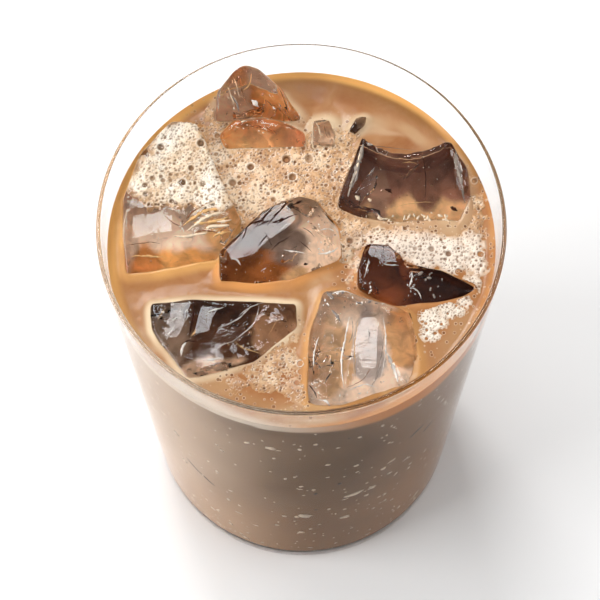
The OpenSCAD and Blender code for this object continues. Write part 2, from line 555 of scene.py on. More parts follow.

# Each piece: the tint of its ice, the depth of its dents, how far down clear ice shows in the coffee,
# its seed, the colour of the coffee seen through it, the painted light on the coffee round it as (colour,
# strength, width), zones of another colour as (x, y, half width, half depth, colour), and flat facets that
# take a clean reflection, as (x, y, half length, half width, turn, slope, the way the slope's normal leans).
# The colours seen through the ice and their zones are partly the coffee's own and partly painted shade and
# light.
Look = namedtuple("Look", "tint dent clear_depth seed seen film zones facets")
LOOKS = {
    "ice_left": ((0.99, 0.97, 0.95), 0.24, 4.0, 3, (0.99, 0.74, 0.54), (GOLDEN, 0.9, 1.0),
        [(-24, -5.5, 14, 7.0, (0.84, 0.40, 0.12)), (-31, -3.5, 3.6, 4.5, (0.72, 0.27, 0.07)),
        (-31, 20.5, 4.5, 4.0, (0.86, 0.42, 0.07)), (-16, 5, 3.5, 5.0, (0.85, 0.50, 0.22))],
        [(-29.5, 3.6, 4.4, 2.8, 0, 6, 150)]),
    "ice_back_low": ((0.98, 0.94, 0.90), 0.20, 3.0, 5, (0.90, 0.47, 0.20), (CREAM, 0.7, 1.0),
        [(-13, 23, 3, 4, (0.94, 0.56, 0.24)), (0, 24, 4, 4, (0.80, 0.42, 0.21))], []),
    "ice_back_tall": ((0.99, 0.96, 0.93), 0.24, 7.0, 7, (0.90, 0.40, 0.135), (CREAM, 0.5, 1.0),
        [(-14, 31, 4.0, 10, (0.90, 0.66, 0.47)), (1, 31, 3, 8, (0.50, 0.23, 0.10)),
        (-5, 27.5, 8, 2.2, (0.52, 0.24, 0.10))], []),
    "ice_back_chip": ((0.98, 0.94, 0.90), 0.12, 3.0, 9, (0.92, 0.70, 0.52), (CREAM, 1.0, 1.5), [], []),
    "ice_sliver": ((0.95, 0.90, 0.85), 0.06, 3.0, 11, (0.30, 0.155, 0.085), (CREAM, 0.7, 0.8),
        [(12.4, 27.2, 1.0, 1.2, (0.80, 0.60, 0.42))], []),
    "ice_back_right": ((0.95, 0.92, 0.90), 0.24, 7.0, 13, (0.30, 0.130, 0.078), (CREAM, 0.3, 0.9),
        [(22, 5.0, 16, 7.6, (0.86, 0.52, 0.25)), (9.5, 7, 4, 4.5, (0.24, 0.090, 0.035)),
        (25.5, 15.5, 3, 5, (0.24, 0.105, 0.062)), (16, 14, 2, 6, (0.40, 0.21, 0.13))],
        [(31.4, 15.5, 5.0, 0.9, -72, 8, 150)]),
    "ice_centre": ((0.98, 0.95, 0.93), 0.24, 5.0, 15, (0.95, 0.70, 0.50), (AMBER, 0.9, 1.1),
        [(-8, 2, 9.5, 6.5, (0.26, 0.17, 0.125)), (-9.5, -5.0, 8.8, 5.0, (0.34, 0.105, 0.026)),
        (0.5, -5.5, 4.5, 3.6, (0.62, 0.36, 0.17))], [(-8.4, 1.6, 8.4, 3.5, 33, 6, 150)]),
    "ice_right": ((0.94, 0.88, 0.85), 0.20, 6.0, 17, (0.27, 0.070, 0.021), (AMBER, 0.3, 1.0),
        [(27.5, -9, 7, 6, (0.095, 0.022, 0.006))], [(16.2, -3.6, 3.6, 2.0, -18, 6, 150)]),
    "ice_front_left": ((0.96, 0.93, 0.92), 0.24, 6.0, 19, (0.105, 0.040, 0.017), (CREAM, 0.95, 0.8),
        [(-26, -18, 4.0, 8, (0.38, 0.24, 0.155)), (-5, -17, 4.5, 7, (0.46, 0.24, 0.12)),
        (-14, -25.5, 12, 3.2, (0.80, 0.52, 0.33))], [(-19.0, -16.2, 3.4, 1.9, 82, 6, 150),
        (-24.6, -16.5, 4.2, 2.2, 75, 5, 150), (-8.2, -15.5, 2.8, 0.7, 58, 6, 150)]),
    "ice_front": ((1.0, 0.99, 0.98), 0.30, 4.2, 21, (0.86, 0.66, 0.50), (GOLDEN, 0.45, 0.9),
        [(5, -22, 5.0, 9, (0.74, 0.45, 0.24)), (12.8, -21, 3.2, 8, (0.52, 0.42, 0.36)),
        (20, -19, 4.2, 6.5, (0.66, 0.36, 0.16))], [(12.9, -22.0, 6.4, 2.3, 90, 6, 150),
        (9.6, -24, 6.5, 0.6, 80, 6, 150), (18.2, -27.6, 2.9, 1.2, -62, 6, 150)]),
}
LOOKS = {name: Look(*look) for name, look in LOOKS.items()}


def flatten(points, normals, x, y, half_length, half_width, turn, slope, way):
    """Makes the upward skin within a soft rectangle one flat facet."""
    turn, slope, way = math.radians(turn), math.radians(slope), math.radians(way)
    dx, dy = points[:, 0] - x, points[:, 1] - y
    along = (dx * math.cos(turn) + dy * math.sin(turn)) / half_length
    across = (dy * math.cos(turn) - dx * math.sin(turn)) / half_width
    share = fade(1.12, 0.94, (np.abs(along) ** 5 + np.abs(across) ** 5) ** 0.2)
    share = share * (normals[:, 2] > 0.45) * (points[:, 2] > level - 0.5)
    plane = -math.tan(slope) * (math.cos(way) * dx + math.sin(way) * dy)
    core = share > 0.9
    if core.any():
        plane = plane + np.median(points[core, 2] - plane[core])
        points[:, 2] += share * (plane - points[:, 2])


def melted_mesh(name):
    """A fine copy of the CAD node's mesh, dented all over as melting ice is, and shallow in the coffee."""
    look = LOOKS[name]
    voxel = 0.2 if name in ("ice_sliver", "ice_back_chip") else 0.5
    fine = modified(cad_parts[name].data.copy(),
                    ("REMESH", {"mode": "VOXEL", "voxel_size": voxel * MM, "use_smooth_shade": True}),
                    ("SMOOTH", {"factor": 0.5, "iterations": 4}))
    points, normals = points_of(fine), normals_of(fine)
    hollows, scallops = waves(points, 7.0, look.seed), waves(points, 2.6, look.seed + 1)
    push = look.dent * (0.75 * hollows + 0.28 * scallops) - 0.4 * look.dent   # mostly inwards
    points = points + normals * push[:, None]
    for facet in look.facets:
        flatten(points, normals, *facet)
    start = level - 1     # below this the piece is squeezed up to its clear depth
    under = points[:, 2] < start
    deepest = start - points[:, 2].min()
    points[under, 2] = start - (start - points[under, 2]) * (look.clear_depth - 1) / deepest
    set_points(fine, points)
    fine.shade_smooth()
    return fine


def depth_in(tree, point):
    """How far a point lies inside a closed mesh; negative outside."""
    hit, normal, _, away = tree.find_nearest(Vector(point))
    return away if (Vector(point) - hit).dot(normal) < 0 else -away


def place_inside(rng, tree, points, lowest, least, most):
    """A random place this far under a piece's skin, and the way inward, or None if it is too low to show."""
    base = points[rng.integers(len(points))]
    if base[2] < lowest:
        return None
    hit, normal, _, _ = tree.find_nearest(Vector(base))
    inward = -np.array(normal)
    return np.array(hit) + inward * rng.uniform(least, most), inward


def gap_faces(around):
    """Faces of an air gap: on each side a middle point and two rings, and one edge that both sides share."""
    faces = []
    edge = range(2 + 4 * around, 2 + 5 * around)
    for first, turned in ((0, False), (1 + 2 * around, True)):
        rings = [[first] * around, range(first + 1, first + 1 + around),
                 range(first + 1 + around, first + 1 + 2 * around), edge]
        for low, high in zip(rings, rings[1:]):
            for i in range(around):
                j = (i + 1) % around
                face = without_repeats([low[i], high[i], high[j], low[j]])
                faces.append(face if turned else face[::-1])
    return faces


def air_gap(rng, tree, points, size):
    """A crack: a thin wavy air gap as a closed shell turned inside out, or None where there is no room."""
    around, half_gap, clear_of_skin = 18, 0.035, 0.15
    for _ in range(12):
        found = place_inside(rng, tree, points, level - 3, 0.7, 2.2)
        if found is None:
            continue
        middle, inward = found
        across = np.cross(inward, rng.normal(size=3))
        across /= np.linalg.norm(across)
        up = np.cross(across, inward) * 0.8 + inward * rng.uniform(-0.8, 0.8)
        up /= np.linalg.norm(up)
        lift = np.cross(across, up)
        length, width = size * rng.uniform(0.6, 1.2), size * rng.uniform(0.25, 0.6)
        ragged = 1 + 0.25 * rng.normal(size=around)
        curl, bow = rng.uniform(-0.12, 0.12), rng.uniform(0.4, 1.4)
        verts = []
        for share, side, count in ((0, 1, 1), (0.35, 1, around), (0.7, 1, around),
                                   (0, -1, 1), (0.35, -1, around), (0.7, -1, around), (1.0, 0, around)):
            for turn, rough in [(2 * math.pi * i / around, ragged[i]) for i in range(count)]:
                x = share * length * rough * math.cos(turn)
                y = share * width * rough * math.sin(turn)
                z = curl * x * x / size + 0.12 * math.sin(bow * x * 2 + y * 3)
                verts.append(middle + across * x + up * y + lift * (z + side * half_gap * (1 - share ** 2)))
        if all(depth_in(tree, v) > clear_of_skin for v in verts[::5]):
            return np.array(verts), gap_faces(around)
    return None


def trapped_bubble(rng, tree, points):
    """A small round air bubble, as a ball turned inside out, or None where there is no room."""
    for _ in range(8):
        found = place_inside(rng, tree, points, level - 4, 0.4, 2.5)
        if found is None:
            continue
        r = rng.uniform(0.08, 0.26)
        if depth_in(tree, found[0]) > r + 0.1:
            ball = bmesh.new()
            bmesh.ops.create_icosphere(ball, subdivisions=2, radius=r)
            stretch = rng.uniform(1, 2.2)
            stretch = (1, 1, stretch if rng.random() < 0.3 else 1)
            verts = np.array([v.co for v in ball.verts]) * stretch + found[0]
            faces = [[v.index for v in f.verts][::-1] for f in ball.faces]
            ball.free()
            return verts, faces
    return None


# Flaws in each piece: how many air gaps, their size, and how many round bubbles
CRACKS = {"ice_left": (3, 3.0, 34), "ice_back_low": (1, 2.0, 16), "ice_back_tall": (3, 3.0, 24),
          "ice_back_chip": (1, 1.2, 6), "ice_back_right": (4, 3.5, 40), "ice_centre": (5, 3.0, 34),
          "ice_right": (2, 2.5, 24), "ice_front_left": (4, 3.5, 36), "ice_front": (4, 4.0, 40)}

# Marks on the ice, in strokes: kind, x, y, end x, end y, bend, width
MARKS = {
    "ice_centre": rows_of("""
        dark -11.8 -1 -8.8 4.4 0.5 0.34, dark -9.8 3 -7.2 3.6 0.2 0.9, dark -9.4 2 -5.2 7 -0.3 0.42,
        dark -8.4 2.6 -5.8 3.6 0.4 0.7, dark -6.8 2.4 -1.6 8.4 0.3 0.46, dark -5.6 3.2 -3.6 4.2 -0.3 0.8,
        dark -4.8 2.8 -0.8 4.8 0.3 0.4, dark -8.6 -2 -5.8 1.2 0.2 0.24, dark -7.4 1.4 -5.8 -1.8 0.1 0.16,
        dark -5.9 -2.8 -2.2 0.4 0.3 0.26, dark -2.2 6.4 0.4 5.4 0.2 0.3, dark -1.8 7 0.2 8.4 0.2 0.7,
        dark 0.2 2.4 2.6 0.4 0.2 0.12, dark -0.4 -0.6 2 -2.8 0.1 0.12, dark 4.6 6.2 6.6 3.8 0.1 0.12,
        white -4.2 1.5 -2.4 2.7 0.2 0.4, white -5.6 2.2 -4.6 3 0.1 0.3, white 3.6 1.8 6.4 2.2 0.3 0.34,
        white 5.2 4 7.4 0.6 0.4 0.26, white -3.5 -2.6 0.6 -3.2 0.1 0.4, white 3.2 -3.2 7.2 -1.8 -0.3 0.5,
        dark 0.4 -5.2 1.2 -5 0 0.5, white -13.6 -4.4 -12 -5.6 0.1 0.3, white -8 -6.6 -7 -6 0.1 0.18"""),
    "ice_front_left": rows_of("""
        white -17.8 -23.4 -13.4 -21 0.2 0.16, white -13.6 -21 -8.4 -13.4 -0.6 0.17,
        white -16.6 -18.2 -10 -13.6 -0.3 0.2, white -12.4 -15.6 -7.6 -12.8 0.2 0.14,
        gold -6.6 -19.6 -4.2 -16 0.1 0.13, gold -13.2 -20.8 -8 -23.6 -0.8 0.2,
        white -18.6 -14.8 -15.4 -13.8 0.3 0.42, white -19.4 -24.8 -15.8 -24.6 -0.2 0.7,
        white -26.4 -20.6 -24.8 -17.6 0.2 0.34, white -25.2 -16.9 -24.3 -15.8 0.1 0.34,
        white -22.8 -16.8 -22.2 -15.2 0.1 0.24, white -27.9 -22.2 -26.4 -21.4 0.2 0.5,
        white -25.6 -13.2 -24.9 -12.2 0.1 0.34, gold -28.2 -16.6 -26.6 -13.8 0.2 0.22,
        dark -22 -20 -21.4 -13 -0.3 0.5, dark -23.6 -21.6 -20.8 -21 0.2 0.3,
        white -23.6 -24 -22.4 -20.8 0.2 0.5, gold -21.6 -19.8 -20.8 -18.2 0 0.4"""),
    "ice_front": rows_of("""
        white 9.2 -16.6 8 -31 -0.5 0.42, gold 10.9 -17.2 10.2 -29.2 -0.3 0.2,
        white 15.7 -16.6 15.2 -28.6 0.6 0.3, white 15.9 -23.4 18.4 -29.8 0.5 0.8,
        brown 8.4 -31 13.6 -25.4 -0.9 0.12, grey 12.6 -31.6 15.5 -24 -0.7 0.14,
        grey 13.8 -30.2 15.9 -20 -0.3 0.15, grey 9.7 -16.6 9 -22 0.2 0.2, grey 5.8 -15 7.4 -17.6 0.2 0.6,
        grey 10.4 -13.4 11.8 -14 0.1 0.45, dark 12.9 -19.2 13.1 -20.6 0.1 0.22,
        dark 20.2 -14 23 -25.6 0.8 0.2, gold 20.8 -14.2 23.5 -25.6 0.8 0.2, dark 1.2 -30 2.6 -32.6 0.2 0.28,
        white 3 -33.2 5.2 -34.4 0.3 0.5, white 2.2 -26.4 3.2 -20.4 0.4 0.36,
        grey 4.6 -10.9 6.2 -12.8 0.2 0.7, white 9 -31.4 14.4 -31 0.6 0.3, white 5 -12 10.6 -11.8 0.4 0.5,
        white 12.8 -11 18.6 -13.4 0.3 0.36"""),
    "ice_back_right": rows_of("""
        white 13.2 20.6 17.6 18.9 0.2 0.26, white 17.6 18.9 24.6 19.2 0.5 0.4,
        silver 12.6 20.4 9.4 9.8 0.3 1.2, pale 12.2 19.8 9.9 12.4 0.2 0.5, grey 11.6 16.4 10.4 12 0.2 0.6,
        silver 13.4 20.2 24.2 18.9 0.9 0.9, silver 30.9 18.8 32.6 9.6 -0.2 1,
        grey 31.2 19.2 32.2 14 -0.2 0.8, grey 32.2 13 32.8 8.6 -0.2 0.6, white 31.9 16.8 32.4 14.4 0 0.3,
        dark 16.8 11.2 18.2 10.4 0.2 0.8, dark 29.8 7.6 31.2 6.8 0.1 0.8, dark 24 19 24.8 9 0.4 0.2,
        pale 10.8 9.9 11.6 9 0.1 1, pale 13.4 9.4 14 8.8 0.1 0.8, white 29.4 3 31.6 1.8 0.1 0.4,
        gold 20.4 16.4 23.4 16 0.3 0.14, gold 18.6 7.6 26.4 8.6 0.3 0.16"""),
    "ice_right": rows_of("""
        white 21.6 -7.6 21 -10.2 0.3 0.34, white 21 -10.2 23.4 -12.2 0.4 0.26,
        white 13.2 -4.8 12.2 -8.6 0.2 0.26, white 16 -5.9 19 -6.4 -0.3 0.3,
        dark 16.2 -1.4 15.8 -4.8 0.1 0.2, dark 19.4 -3.2 18.4 -4.6 0.2 0.26,
        gold 22.2 -5.8 30.4 -7.8 0.5 0.14"""),
    "ice_left": rows_of("""
        gold -23.4 3.2 -14.8 7 0.9 1, pale -22.6 2 -15 6 0.6 1.1, gold -21.4 3.8 -14.4 5 -0.5 0.8,
        pale -18.8 2.6 -14.2 3.2 0.4 1.3, brown -22.8 4.6 -17.6 8.2 0.7 0.5,
        brown -21.6 1.4 -16.4 1.4 0.5 0.4, pale -25.2 0.8 -18.4 1.6 -0.3 0.9,
        brown -27 5.2 -23.4 3 -0.4 0.25, pale -21 6.2 -15.2 8.8 0.5 0.9, gold -20.2 5.4 -15.6 7.6 0.4 0.7,
        gold -17.4 0.8 -13.6 2 0.4 0.8, pale -17 4 -13.8 4.4 -0.3 0.9, gold -33.6 -3 -27.4 -3 0.2 0.5,
        gold -34 -6.6 -25 -6.2 -0.1 0.8, gold -25.4 -6.2 -16.8 -4.6 -0.3 0.8,
        brown -34.6 -1 -28 -0.6 0.3 0.22, pale -34.4 7.4 -34.8 -0.6 -0.4 0.26"""),
    "ice_back_tall": rows_of("""
        pale -14.6 32 -13.2 28.6 0.3 0.26, pale -13.4 33.6 -12.2 30.4 0.2 0.2,
        white -9.8 30.2 -8.4 29.2 0.1 1, brown -12 33.6 -10.6 29.6 -0.4 0.22,
        gold -9.8 34.4 -11.6 31.6 0.6 0.3, brown -4.6 33.2 -2.4 28.6 0.3 0.34,
        grey -13.8 30.6 -12.4 28.2 0.2 0.5, pale -4.2 33.2 -2 28.8 0.3 0.18, white -5.6 29.4 -5 29 0 0.3,
        dark -3.2 29.4 -2.6 29 0 0.5"""),
    "ice_back_low": rows_of("""
        pale -13.4 25.4 -12.2 25 0.1 0.34, pale -10.2 27.2 -9 27.4 0.1 0.26,
        pale -7.6 25 -6.8 24.4 0.1 0.32, pale -4 27 -2.8 26.6 0.1 0.28, pale -1.4 25.2 -0.6 24.8 0.1 0.3,
        pale -12 26.2 -10.8 26.6 0.1 0.5, pale -3 25 -1.8 24.8 0.1 0.26"""),
    "ice_back_chip": rows_of("""
        pale 3 26.4 4 22.6 0.3 0.24, brown 5 26.2 5.6 22.8 -0.3 0.22"""),
}

# Small specks on the ice: kind, x, y, half width, half depth, how many, largest radius
SPECKS = {
    "ice_front_left": rows_of("""
        white -24.6 -17 2.8 5 34 0.22, pale -8 -22.4 4 1.4 14 0.2, white -14 -17 7 4 12 0.12"""),
    "ice_front": rows_of("""
        white 11.5 -12.4 7.5 1.6 34 0.3, grey 11.5 -12.6 7.5 1.4 16 0.34, white 5 -24 3 8 14 0.14,
        white 12 -31 6 3 20 0.2"""),
    "ice_centre": rows_of("""
        white 4.4 1.2 3.2 5 30 0.2, brown 3.6 5.6 2.6 2.4 14 0.24, pale -10 -6.2 6 2.6 16 0.14"""),
    "ice_back_right": rows_of("""
        pale 20 5.4 9.4 1.2 34 0.4, pale 28 3.8 3.4 1.6 14 0.34, pale 21 12 9 6 16 0.12"""),
    "ice_right": rows_of("""
        silver 25.4 -9.6 3.2 2.2 13 0.36, white 21.6 -9.6 0.9 3 14 0.2, white 12.8 -8 0.9 3 12 0.24"""),
    "ice_left": rows_of("""
        pale -19 4 4.4 3 16 0.3, white -24 2 8 3 16 0.14"""),
    "ice_back_tall": rows_of("""
        pale -13.2 31.4 1.6 3.4 12 0.2, pale -6 30 5 3.2 12 0.14"""),
    "ice_back_low": rows_of("""
        pale -7 25.4 6.6 1.8 18 0.22"""),
}

# white marks are frost and foam bits with painted glints; gold ones are painted glints and painted shade
# along folds; silver ones are painted highlights along edges
MARK_COLOURS = {"white": (0.88, 0.81, 0.74), "pale": (0.90, 0.71, 0.51), "gold": (0.80, 0.47, 0.20),
                "silver": (0.33, 0.27, 0.225), "grey": (0.30, 0.25, 0.22), "brown": (0.30, 0.12, 0.05),
                "dark": (0.045, 0.016, 0.010)}


def stroke(rng, path, up, width, thick):
    """A closed ragged sliver along a path, widest at its middle, flat against the skin that up stands on."""
    count = len(path)
    side = np.cross(np.gradient(path, axis=0), up)
    side /= np.maximum(np.linalg.norm(side, axis=1), 1e-9)[:, None]
    ragged = rng.uniform(0.35, 1.25, count)
    half = (width / 2 * ragged * np.sin(np.linspace(0.12, math.pi - 0.12, count)) ** 0.7)[:, None]
    rise = thick * half / (width / 2)
    verts = np.stack([path + side * half, path + up * rise, path - side * half, path - up * rise], 1)
    faces = [(4 * i + k, 4 * i + (k + 1) % 4, 4 * i + 4 + (k + 1) % 4, 4 * i + 4 + k)
             for i in range(count - 1) for k in range(4)]
    last = 4 * (count - 1)
    return verts.reshape(-1, 3), faces + [(3, 2, 1, 0), (last, last + 1, last + 2, last + 3)]


def stroke_on(tree, rng, x, y, width, thick):
    """A stroke on the ice that stands out of the coffee along these places; none where too little does."""
    found = [seen_from_above(tree, a, b) for a, b in zip(x, y)]
    found = [(hit, normal) for hit, normal in found if hit is not None and hit.z > level + 0.15]
    if len(found) < 4:
        return []
    path, up = np.array([hit for hit, _ in found]), np.array([normal for _, normal in found])
    return [stroke(rng, path, up, width, thick)]


def ice_marks(trees):
    """Frosty streaks, specks and dark hairline cracks in the skin of the ice, with painted glints, painted
    highlights along edges and painted shade along folds.
    """
    rng = np.random.default_rng(101)
    step = 0.35           # between the points of a stroke
    made = {kind: [] for kind in MARK_COLOURS}
    for name in MARKS:
        for kind, x0, y0, x1, y1, bend, width in MARKS[name]:
            length = math.hypot(x1 - x0, y1 - y0)
            t = np.linspace(0, 1, max(6, int(length / step)))
            wander = 0.10 * np.cumsum(rng.normal(size=len(t))) * math.sqrt(step)
            off = bend * np.sin(math.pi * t) + wander * np.sin(math.pi * t)
            x = x0 + t * (x1 - x0) - off * (y1 - y0) / length
            y = y0 + t * (y1 - y0) + off * (x1 - x0) / length
            made[kind] += stroke_on(trees[name], rng, x, y, width, 0.26 if kind == "dark" else 0.10)
        for kind, x, y, half_width, half_depth, count, largest in SPECKS.get(name, []):
            for _ in range(int(count)):
                r = largest * rng.uniform(0.35, 1.0)
                a, b = x + half_width * rng.uniform(-1, 1), y + half_depth * rng.uniform(-1, 1)
                turn, length = rng.uniform(0, math.pi), r * rng.uniform(1, 1.8)
                t = np.linspace(-length, length, 5)
                made[kind] += stroke_on(trees[name], rng, a + t * math.cos(turn), b + t * math.sin(turn),
                                        1.7 * r, 0.4 * r)
    for kind, strokes in made.items():
        material = mark_material(kind + "_in_ice", MARK_COLOURS[kind])
        piece("ice_marks_" + kind, mesh_of("ice_marks_" + kind, *joined(strokes)), [material], "ice")


def ice_pieces():
    """The ice, each piece with its flaws. Returns the plain skins, for the coffee to be cut round."""
    skins, trees = {}, {}
    for name in ICE:
        skins[name] = melted_mesh(name)
        points, faces = points_of(skins[name]), faces_of(skins[name])
        tree = trees[name] = tree_of(points, faces)
        rng = np.random.default_rng(LOOKS[name].seed)
        cracks, size, bubbles = CRACKS.get(name, (0, 1, 0))
        flaws = [air_gap(rng, tree, points, size) for _ in range(cracks)]
        flaws += [trapped_bubble(rng, tree, points) for _ in range(bubbles)]
        mesh = mesh_of(name + "_clear", *joined([(points, faces)] + [flaw for flaw in flaws if flaw]))
        material = clear_material(name + "_ice", LOOKS[name].tint, ICE_IOR, size=2.4, fine=0.35, strength=0.3,
                                  depth=0.35)
        slot = "dark_ice" if name == "ice_right" else "ice"
        piece(name.replace("ice_", "clear_ice_"), mesh, [material], slot, name)
    ice_marks(trees)
    return skins


# ---- where the froth lies ----

# Round patches of froth that merge: (x, y, radius)
FROTH_BACK = [(-9, 14, 8.5), (0, 17, 8), (3, 13, 6), (-13, 8, 4.5), (6, 21, 5.5), (-14, 20, 5),
              (6.5, 6.5, 3.8), (10.5, 2, 4), (15, 1, 3.4), (20, 0.5, 4.2), (25, -1.5, 4.6), (30, -2.5, 4.6),
              (34, 0, 3), (8, 17, 3.5), (35, 4.5, 2.4), (34.8, 9, 2.0), (-16.5, 28.5, 3.2), (-18, 24, 3.4),
              (9, 23.4, 2.6), (9.6, 14, 2.2), (34.6, -4.5, 2.8), (33.4, -8.6, 2.4), (32, -12.4, 1.8),
              (8.4, -1.6, 2.6), (11, -4.6, 1.7), (9.4, -7.4, 1.0), (34, 13.4, 1.5)]
FROTH_RIGHT = [(26, -16.2, 3.0), (24.6, -19.6, 2.4), (28.4, -14.6, 2.2), (24.2, -15.2, 2.0),
               (30.6, -14.6, 1.8)]
FROTH_FRONT = [(-3.5, -25, 3.8), (-7.5, -28.5, 3.4), (-2.4, -30, 3), (-1.6, -33.4, 2.2), (-1.5, -20, 1.6),
               (-13, -29.5, 2.2), (-10, -26.5, 2.2), (-17, -26.5, 1.2)]
LEFT_TOP = [(-24.6, 20.6, 5.6), (-22, 17, 7), (-28.2, 13.2, 6.2), (-21, 24, 5), (-18, 10, 4.5),
            (-24, 11, 4)]

# Colours of the foam: dark, middle and light
TAN_FOAM = ((0.47, 0.235, 0.097), (0.67, 0.395, 0.20), (0.84, 0.62, 0.41))
PALE_FOAM = ((0.63, 0.42, 0.245), (0.84, 0.665, 0.475), (0.93, 0.83, 0.70))
THIN_FOAM = ((0.40, 0.19, 0.080), (0.54, 0.31, 0.155), (0.74, 0.53, 0.34))

# Froth that floats: its name, patches, seed, colours, bubbles as (how many, smallest and largest radius),
# thickness, and the node it stands for
FLOATING = [("froth_between", FROTH_BACK, 61, TAN_FOAM,
             [(150, 0.42, 0.95), (2200, 0.2, 0.42), (8000, 0.1, 0.22)], 0.55, "froth_back"),
            ("froth_by_wedge", FROTH_RIGHT, 63, PALE_FOAM,
             [(6, 0.4, 0.6), (120, 0.2, 0.4), (700, 0.1, 0.2)], 0.2, "froth_right"),
            ("froth_by_front", FROTH_FRONT, 65, THIN_FOAM,
             [(16, 0.4, 0.6), (260, 0.2, 0.4), (700, 0.1, 0.2)], 0.2, "froth_front")]


def flat_points(x, y, z=0):
    return np.stack([x, y, np.full_like(x, z)], 1)


def foam_field(x, y, patches, seed):
    """How far inside the merged, ragged patches a place lies, in mm."""
    deep = np.max([r - np.hypot(x - px, y - py) for px, py, r in patches], axis=0)
    flat = flat_points(x, y)
    return deep + 0.55 * waves(flat, 2.6, seed) + 0.45 * waves(flat, 0.8, seed + 5)


# ---- coffee ----

def surface_height(x, y, ice_tree):
    """The coffee's surface and its distance from the ice: it climbs the glass and the ice, and swells."""
    to_wall = np.clip((cavity_r(level) - np.hypot(x, y)) / climb_w, 0, 1)
    flat = flat_points(x, y, level)
    away = np.array([ice_tree.find_nearest(Vector(p))[3] for p in flat])
    z = level + climb_h * (1 - to_wall) ** 3
    return z + 0.55 * np.exp(-away / 0.9) + 0.05 * waves(flat, 9.0, 41), away


# Broad tones of the coffee's surface: (x, y, half width, half depth, turn, strength, colour)
TONES = [(11, 27.0, 9, 3.0, -10, 0.9, (0.56, 0.37, 0.215)),
         (22.5, 23.6, 7, 2.0, -32, 0.85, (0.54, 0.34, 0.18)),
         (19, 31.5, 17, 4.2, -31, 1.0, (0.33, 0.140, 0.042)),
         (-4, 36, 16, 2.6, 4, 0.85, (0.34, 0.145, 0.045)), (31, 20, 3, 9, 28, 0.8, (0.38, 0.165, 0.055)),
         (15, 25.0, 7, 1.2, -20, 0.7, (0.62, 0.43, 0.27)),
         (-20, -9.4, 21, 2.8, -3, 0.95, (0.35, 0.140, 0.043)),
         (0.4, -12, 2.2, 8, 8, 0.8, (0.38, 0.165, 0.052)),
         (-35, -8, 2.4, 10, 12, 0.8, (0.38, 0.155, 0.046)), (30, -20, 4, 8, -25, 0.75, (0.44, 0.25, 0.120)),
         (-27, -9, 9, 3.4, -4, 0.8, (0.36, 0.150, 0.050)),
         (-17, -30, 7, 3.2, -28, 0.8, (0.46, 0.275, 0.14)),
         (-20, -27.6, 4.5, 1.2, -20, 0.8, (0.66, 0.33, 0.11)),
         (8, -8.4, 6, 1.5, 6, 0.8, (0.35, 0.14, 0.043)), (-10, -32, 6, 2.0, -14, 0.7, (0.40, 0.21, 0.085)),
         (20, 1.2, 11, 1.8, -6, 0.7, (0.46, 0.25, 0.115)), (33.5, 4, 2.2, 8, -4, 0.7, (0.42, 0.20, 0.075))]

TAN = (0.43, 0.205, 0.088)
# The coffee's colour where it meets the glass: at the back, the front and the front left, and then seen
# through the wall as the band under the rim: at the left, the right and the back
EDGE, FRONT_EDGE, MILKY_EDGE = (0.95, 0.49, 0.15), (0.58, 0.235, 0.05), (0.70, 0.56, 0.43)
BAND, ORANGE_BAND, BACK_BAND = (0.52, 0.425, 0.33), (0.50, 0.165, 0.018), (0.62, 0.34, 0.14)


